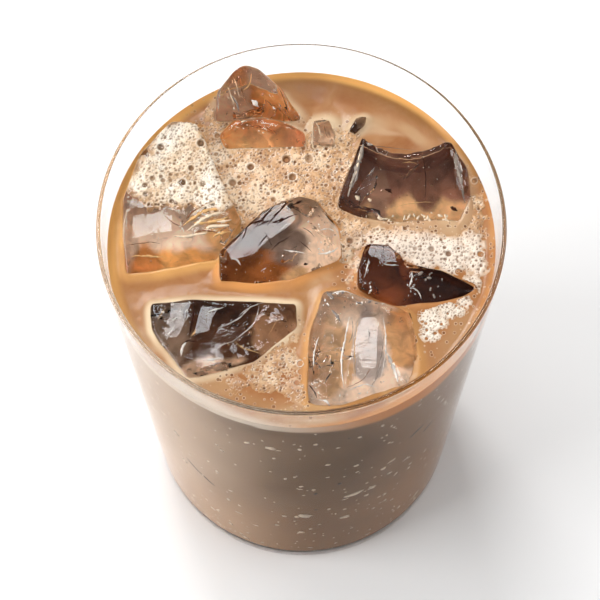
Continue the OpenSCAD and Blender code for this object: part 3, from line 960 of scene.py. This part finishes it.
def paint_coffee(body, ice_tree, owners):
    """Where the painted light round the ice, the coffee's foam and each piece's colours, partly painted shade
    and light, lie.
    """
    points = points_of(body)
    x, y, z = points.T
    r = np.hypot(x, y)
    to_right, to_back = x / np.maximum(r, 1), y / np.maximum(r, 1)
    on_top = z > level - 0.5
    near = [ice_tree.find_nearest(Vector(p)) for p in points]
    away = np.array([n[3] for n in near])
    owner = owners[[n[2] for n in near]]
    looks = [LOOKS[name] for name in ICE]
    # the colour, strength and width of the painted light round each piece
    halo_light_colour, strength, width = [np.array([look.film[k] for look in looks])[owner] for k in range(3)]

    # on top: the painted light round the ice, the rim against the glass, the foam and the tones
    patchy = np.clip(1 + 0.45 * waves(points, 6.0, 71), 0.3, 1.2)
    # painted light: a pale ring round each piece, for light that the ice passes onto the coffee and that the
    # meniscus reflects
    paint(body, "near_ice", np.clip(strength * patchy * fade(2.2, 0.3, away / width), 0, 1) * on_top)
    back_left = fade(-0.35, 0.75, (-0.5 * x + 0.86 * y) / np.maximum(r, 1))
    front = fade(-0.5, -0.8, to_back)
    wider = 1.1 * fade(0.15, -0.5, to_right)
    edge = fade(1.3 + wider, 0.3, cavity_r(level) - r + 0.35 * waves(points, 9.0, 79, 1))
    paint(body, "near_glass", edge * np.clip(0.12 + 0.88 * back_left + 0.8 * front, 0, 1) * on_top)
    front_left = front * fade(0.15, -0.25, to_right)
    paint(body, "edge", shift(shift(np.array(EDGE), front, FRONT_EDGE), front_left, MILKY_EDGE))
    foam = np.max([foam_field(x, y, patches, seed) for _, patches, seed, *_ in FLOATING], axis=0)
    paint(body, "near_froth", fade(-4.5, -0.2, foam) * on_top)
    warp = [1.3 * waves(points, 7.0, 81), 1.3 * waves(points, 7.0, 83)]
    tone, toned = np.tile(TAN, (len(points), 1)), np.zeros(len(points))
    for tx, ty, half_width, half_depth, turn, most, colour in TONES:
        dx, dy = x + warp[0] - tx, y + warp[1] - ty
        c, s = math.cos(math.radians(turn)), math.sin(math.radians(turn))
        out = np.hypot((dx * c + dy * s) / half_width, (dy * c - dx * s) / half_depth)
        share = most * fade(1.25, 0.35, out)
        tone = shift(tone, share, colour)
        toned = np.maximum(toned, share)
    paint(body, "tone", tone)
    paint(body, "toned", toned)

    # against the glass: the band under the rim, and painted light: paler to the left and behind, a lighter
    # warm brown low down and to the right
    right = fade(-0.25, 0.55, to_right)
    deeper = right * fade(0.25, -0.35, to_back)
    below = z - level + 0.5 * waves(points, 5.0, 87)
    paint(body, "near_top", fade(-1.8 - 3.4 * deeper, -1.0 - 2.2 * deeper, below))
    # painted light: paler to the left and behind, where the left and back-left lamps light the side
    milky = fade(-0.12, 0.88, -to_right + 0.10 * waves(points, 14.0, 89))
    behind = fade(-0.25, 0.55, to_back + 0.10 * waves(points, 14.0, 95))
    paint(body, "milky", np.maximum(milky, 0.72 * behind))
    # painted light: a lighter warm brown to the right and low down
    warm_right = fade(0.15, 0.75, to_right + 0.10 * waves(points, 12.0, 91)) * (1 - 0.6 * behind)
    warm_low = fade(66, 8, z + 5 * waves(points, 15.0, 93))
    paint(body, "warm", np.clip(0.24 * warm_right + 0.27 * warm_low, 0, 1))
    band = shift(shift(np.array(BAND), right, ORANGE_BAND), fade(-0.35, 0.25, to_back), BACK_BAND)
    paint(body, "halo", np.where((r > cavity_r(level) - 0.5)[:, None], band, halo_light_colour))
    paint(body, "specks", fade(-0.2, 0.5, waves(points, 16.0, 73)) * 0.7 + 0.3 * fade(60, 10, z))

    # under the ice: each piece's colour and its zones, partly the coffee's own colour and partly painted
    # shade and light
    seen = np.array([look.seen for look in looks])[owner]
    ragged = 0.16 * waves(points, 3.0, 77)
    for number, look in enumerate(looks):
        for zx, zy, half_width, half_depth, colour in look.zones:
            out = np.hypot((x - zx) / half_width, (y - zy) / half_depth) + ragged
            seen = shift(seen, fade(1.15, 0.8, out) * (owner == number), colour)
    paint(body, "seen", np.clip(seen, 0, 1))


def whole_coffee(ice_tree):
    """The coffee up to its curved surface, before the ice is cut out of it."""
    around, rings = 480, 110
    floor = bottom - into_glass
    inner = [(r + into_glass, z) for r, z in corner(cavity_r(bottom), bottom, well, 8)]
    wall_z = [*np.linspace(bottom + well + 2, level - 6, 8), *np.linspace(level - 5, level + 0.9, 8)]
    outline = [(0, floor), (inner[0][0], floor),
               *[(r, z - into_glass * (z < bottom + 1)) for r, z in inner[1:]],
               *[(cavity_r(z) + into_glass, z) for z in wall_z],
               *[((cavity_r(level) + into_glass) * share, level) for share in np.linspace(1, 0, rings)]]
    verts, faces = revolved(outline, around)
    top = len(verts) - (rings - 1) * around - 1
    verts[top:, 2] = surface_height(verts[top:, 0], verts[top:, 1], ice_tree)[0]
    return mesh_of("coffee_body", verts, faces)


def coffee(skins):
    """The coffee, cut round the ice. Returns all the ice as one tree, which the froth keeps clear of."""
    ice_tree = tree_of(*joined([(points_of(skin), faces_of(skin)) for skin in skins.values()]))
    owners = np.repeat(range(len(skins)), [len(skin.polygons) for skin in skins.values()])
    body = whole_coffee(ice_tree)
    surface, side, pocket = coffee_material(), side_material(), pocket_material()
    body.materials.append(surface)
    for skin in skins.values():
        cut = skin.copy()
        set_points(cut, points_of(skin) - normals_of(skin) * into_coffee)
        cut.materials.clear()
        cut.materials.append(pocket)
        tool = linked("cut", cut)
        body = modified(body, ("BOOLEAN", {"operation": "DIFFERENCE", "solver": "MANIFOLD", "object": tool,
                                           "material_mode": "TRANSFER"}))
        bpy.data.objects.remove(tool)
    paint_coffee(body, ice_tree, owners)
    body.materials.append(side)
    index = np.empty(len(body.polygons), np.int32)
    body.polygons.foreach_get("material_index", index)
    x, y, z = read(body.polygons, "center").T
    outside = (np.hypot(x, y) > cavity_r(z) - 0.05) | (z < bottom + 0.1)
    index[outside & (index == 0)] = len(body.materials) - 1
    body.polygons.foreach_set("material_index", index)
    body.shade_smooth()
    body.set_sharp_from_angle(angle=math.radians(48))
    piece("coffee_drink", body, [], "milk_coffee", "coffee")
    return ice_tree


# ---- marks in the coffee, seen through the wall ----

# Larger marks: kind, azimuth, height, half length, half height, turn
WALL_MARKS = rows_of("""
    pale 270.5 36 1.6 1.6 6, pale 267.6 35.2 0.7 0.9 0, pale 287.6 47.8 2.3 1.1 12,
    pale 284.4 45.6 0.8 0.35 20, pale 294.1 48 1.2 1.2 18, pale 284.9 30.5 1.2 1.2 8,
    pale 260.2 86.1 1.1 1 -8, pale 262.6 85.2 0.5 0.3 10, dark 229 46.8 3.4 0.34 -50,
    dark 234.5 43.4 2.6 0.36 -44, dark 308.5 73 2.4 0.5 34, dark 313.6 69.2 2 0.4 44,
    dark 281.9 59.1 0.5 0.9 0, dark 274.1 53.8 0.5 0.9 0, dark 274.3 40.7 0.45 0.4 0,
    dark 283.7 90.8 0.45 0.35 0, pale 300 62 1.2 0.7 30, pale 306 56 0.9 0.4 14, pale 318 80 0.8 0.4 50,
    pale 246 28 1 0.4 -14, pale 252 22 0.8 0.35 5, dark 20 60 2.6 0.2 -20, dark 120 44 3 0.18 16,
    pale 80 40 1.6 0.5 8, pale 150 66 1.2 0.45 -10""")
WALL_COLOURS = {"pale": ((0.64, 0.50, 0.37), "froth"), "dark": ((0.035, 0.017, 0.009), "milk_coffee")}


def wall_mark(rng, azimuth, z, half_length, half_height, turn):
    """A flat ragged oval bent round the inside of the wall, a little proud of the coffee."""
    count = 12 if half_length > 0.7 else 8
    t = np.linspace(0, 2 * math.pi, count, endpoint=False)
    ragged = rng.uniform(0.7, 1.2, count)
    a, b = half_length * ragged * np.cos(t), half_height * ragged * np.sin(t)
    c, s = math.cos(math.radians(turn)), math.sin(math.radians(turn))
    around, up = a * c - b * s, a * s + b * c
    r = cavity_r(z + up) + into_glass
    angle = math.radians(azimuth) + around / r
    ring = np.stack([(r + 0.01) * np.cos(angle), (r + 0.01) * np.sin(angle), z + up], 1)
    way = np.array([math.cos(math.radians(azimuth)), math.sin(math.radians(azimuth)), 0])
    middle = way * (cavity_r(z) + into_glass) + (0, 0, z)
    faces = []
    for one in range(count):
        two = (one + 1) % count
        faces += [(one, two, count), (two, one, count + 1)]
    return np.vstack([ring, middle + 0.10 * way, middle - 0.06 * way]), faces


def wall_marks():
    """Bubbles, dashes and hairlines in the coffee where it meets the wall."""
    rng = np.random.default_rng(97)
    marks, small_marks = list(WALL_MARKS), 820
    for _ in range(small_marks):
        z = 5 + 92 * rng.uniform() ** 1.35         # more of them low down
        r = 0.16 + 0.34 * rng.uniform() ** 2.2     # and most of them small
        marks.append(("pale", rng.uniform(0, 360), z, r * rng.uniform(0.9, 1.8), r * rng.uniform(1.2, 2.6),
                      rng.normal() * 14))
    made = {kind: [] for kind in WALL_COLOURS}
    for kind, *mark in marks:
        made[kind].append(wall_mark(rng, *mark))
    for kind, (colour, slot) in WALL_COLOURS.items():
        mesh = mesh_of("wall_marks_" + kind, *joined(made[kind]))
        piece("wall_marks_" + kind, mesh, [mark_material(kind + "_at_wall", colour)], slot)


# ---- froth ----

def box_of(patches, margin=0):
    low = np.min([(x - r - margin, y - r - margin) for x, y, r in patches], axis=0)
    return low, np.max([(x + r + margin, y + r + margin) for x, y, r in patches], axis=0)


def scattered(rng, patches, seed, sizes):
    """Bubbles as (x, y, radius) at uneven sizes, none much nearer another than their radii allow."""
    found, grid, cell_size, spacing = [], {}, 1.5, 0.92
    low, high = box_of(patches)
    for count, small, large in sizes:
        spots = rng.uniform(low, high, (count, 2))
        radii = small + (large - small) * rng.random(count) ** 2
        field = foam_field(spots[:, 0], spots[:, 1], patches, seed)
        for (x, y), r, deep in zip(spots, radii, field):
            if deep < 0.3:
                continue
            i, j = int(x // cell_size), int(y // cell_size)
            near = [b for di in (-1, 0, 1) for dj in (-1, 0, 1) for b in grid.get((i + di, j + dj), [])]
            if all((x - a) ** 2 + (y - b) ** 2 > ((r + c) * spacing) ** 2 for a, b, c in near):
                grid.setdefault((i, j), []).append((x, y, r))
                found.append((x, y, r))
    return found


def froth(name, patches, seed, ground, colours, sizes, thickness, *replaced):
    """A sheet of foam over a ground: its edge dips under the ground, and burst bubbles pit it."""
    rng = np.random.default_rng(seed)
    pitch = 0.19          # between the points of the sheet
    low, high = box_of(patches, 1.5)
    low, high = np.floor(low), np.ceil(high)
    xs, ys = np.arange(low[0], high[0], pitch), np.arange(low[1], high[1], pitch)
    across, down = len(xs), len(ys)
    x, y = [grid.ravel() for grid in np.meshgrid(xs, ys)]
    field = foam_field(x, y, patches, seed)
    base, on_ground = ground(x, y, field > -0.6)
    rise = thickness * (1 - np.exp(-np.maximum(field, 0) / 2.2))
    rise = rise + 0.08 * waves(flat_points(x, y), 2.4, seed + 2) * (field > 0.4)
    z = base + rise - 0.25 * fade(0.35, -0.4, field)
    pit, ring = np.zeros_like(z), np.zeros_like(z)
    for bx, by, r in scattered(rng, patches, seed, sizes):   # each a hollow with a raised rim and a painted highlight round it
        reach = 1.4 * r
        spans = [slice(max(int((at - reach - start) / pitch), 0),
                       min(int((at + reach - start) / pitch) + 2, count))
                 for at, start, count in ((by, low[1], down), (bx, low[0], across))]
        rows, columns = np.mgrid[tuple(spans)]
        near = (rows * across + columns).ravel()
        d = np.hypot(x[near] - bx, y[near] - by) / r
        hole = np.clip(1 - d ** 2, 0, 1) ** 0.5
        z[near] += -0.55 * r * hole + 0.16 * r * np.exp(-((d - 1.08) / 0.16) ** 2)
        pit[near] = np.maximum(pit[near], fade(1.0, 0.72, d) * rng.uniform(0.45, 1.0))
        # painted highlight round the rim
        ring[near] = np.maximum(ring[near], np.exp(-((d - 1.12) / 0.15) ** 2) * rng.uniform(0.2, 0.9))
    keep = ((field > -0.45) & on_ground).reshape(down, across)
    rows, columns = np.nonzero(keep[:-1, :-1] & keep[1:, :-1] & keep[:-1, 1:] & keep[1:, 1:])
    first = rows * across + columns
    faces = np.stack([first, first + 1, first + across + 1, first + across], 1)
    used, faces = np.unique(faces, return_inverse=True)
    mesh = mesh_of(name, np.stack([x, y, z], 1)[used], faces.reshape(-1, 4))
    paint(mesh, "pit", pit[used])
    paint(mesh, "ring", ring[used])
    paint(mesh, "whiter", (fade(6, 17, x) * fade(5, -0.5, y))[used])
    paint(mesh, "thin", 0.9 * fade(1.6, -0.3, field[used]))
    piece(name, mesh, [froth_material("foam_" + name, *colours)], "froth", *replaced)


def on_coffee(ice_tree):
    """Ground for froth that floats: the coffee's surface, clear of the ice."""
    def ground(x, y, wanted):
        z, ok = np.full_like(x, level), np.zeros(len(x), bool)
        spots = np.nonzero(wanted & (np.hypot(x, y) < cavity_r(level) - 0.25))[0]
        z[spots], away = surface_height(x[spots], y[spots], ice_tree)
        for i, gap in zip(spots, away):
            ok[i] = gap > 0.12 and top_of(ice_tree, x[i], y[i]) < level - 1
        return z, ok
    return ground


def on_ice(tree, lowest):
    """Ground for froth that lies on a piece of ice."""
    def ground(x, y, wanted):
        z, ok = np.full_like(x, level), np.zeros(len(x), bool)
        for i in np.nonzero(wanted)[0]:
            top = top_of(tree, x[i], y[i])
            if top > lowest:
                z[i], ok[i] = top, True
        return z, ok
    return ground


def top_of(tree, x, y):
    hit = seen_from_above(tree, x, y)[0]
    return hit.z if hit else -1.0


# ---- the drink ----

tumbler()
skins = ice_pieces()
ice_tree = coffee(skins)
wall_marks()
for name, patches, seed, colours, sizes, thickness, node in FLOATING:
    froth(name, patches, seed, on_coffee(ice_tree), colours, sizes, thickness, node)
left = skins["ice_left"]
froth("froth_on_ice", LEFT_TOP, 67, on_ice(tree_of(points_of(left), faces_of(left)), level + 0.6), PALE_FOAM,
      [(30, 0.45, 0.85), (520, 0.22, 0.42), (2600, 0.1, 0.22)], 0.4)

# ---- stage, camera and lights ----

# Lamps, in metres and watts: name, place, width and depth, power, and what it points at
LAMPS = [("softbox", (-0.223, 0.717, 1.28), (0.36, 0.36), 7.5, (0, 0, 0.09)),
         ("key_back_left", (-0.62, 0.62, 1.1), (0.8, 0.8), 4, (0, 0, 0.09)),
         ("overhead", (0.5, -0.4, 1.6), (1.8, 1.4), 3.5, (0, 0, 0.09)),
         ("left_side", (-1.1, -0.25, 0.42), (0.8, 0.9), 17, (0, 0, 0.05)),
         ("right_side", (1.15, -0.1, 0.5), (1.0, 1.0), 6, (0, 0, 0.05))]


def studio():
    """A pale floor under a soft studio sky, lit by the lamps."""
    scene = bpy.context.scene
    floor = mesh_of("floor", [(-4000, -4000, 0), (4000, -4000, 0), (4000, 4000, 0), (-4000, 4000, 0)],
                    [(0, 1, 2, 3)])
    pale, nodes = new_material("pale_floor")
    principled(nodes, in_Base_Color=(0.90, 0.90, 0.90, 1), in_Roughness=0.8)
    floor.materials.append(pale)
    linked("floor", floor)

    world = bpy.data.worlds.new("studio")
    scene.world = world
    world.use_nodes = True
    nodes = world.node_tree
    way = add(nodes, "TexCoord").outputs["Generated"]
    toward = add(nodes, "VectorMath", [(0, way)], operation="DOT_PRODUCT")
    toward.inputs[1].default_value = (-0.66, 0.42, 0.62)
    share = add(nodes, "MapRange", [("Value", toward.outputs["Value"])], in_From_Min=-1.0, in_From_Max=1.0)
    sky = nodes.nodes["Background"].inputs
    feed(nodes, sky["Color"], ramp(nodes, share.outputs[0], [(0.30, 0.15), (0.62, 0.20), (0.90, 0.50)]))
    sky["Strength"].default_value = 1.0

    for name, at, size, power, target in LAMPS:
        light = bpy.data.lights.new(name, "AREA")
        light.shape, light.size, light.size_y = "RECTANGLE", *size
        light.energy = power
        lamp = linked(name, light)
        lamp.location = at
        lamp.rotation_euler = (Vector(target) - Vector(at)).to_track_quat("-Z", "Y").to_euler()


def camera():
    """The camera looks down steeply from the front."""
    scene = bpy.context.scene
    tilt, roll = math.radians(66.688), -0.008685
    right, up = Vector((1, 0, 0)), Vector((0, math.sin(tilt), math.cos(tilt)))
    right, up = right * math.cos(roll) + up * math.sin(roll), up * math.cos(roll) - right * math.sin(roll)
    lens = bpy.data.cameras.new("camera")
    lens.lens, lens.sensor_width = 137.13, 36
    lens.clip_start, lens.clip_end = 0.01, 20
    turned = Matrix((right, up, right.cross(up))).transposed().to_4x4()
    made = linked("camera", lens)
    made.matrix_world = Matrix.Translation((-0.000379, -0.18980, 0.51338)) @ turned
    scene.camera = made
    scene.view_settings.view_transform = "Standard"
    scene.cycles.use_denoising = True


studio()
camera()
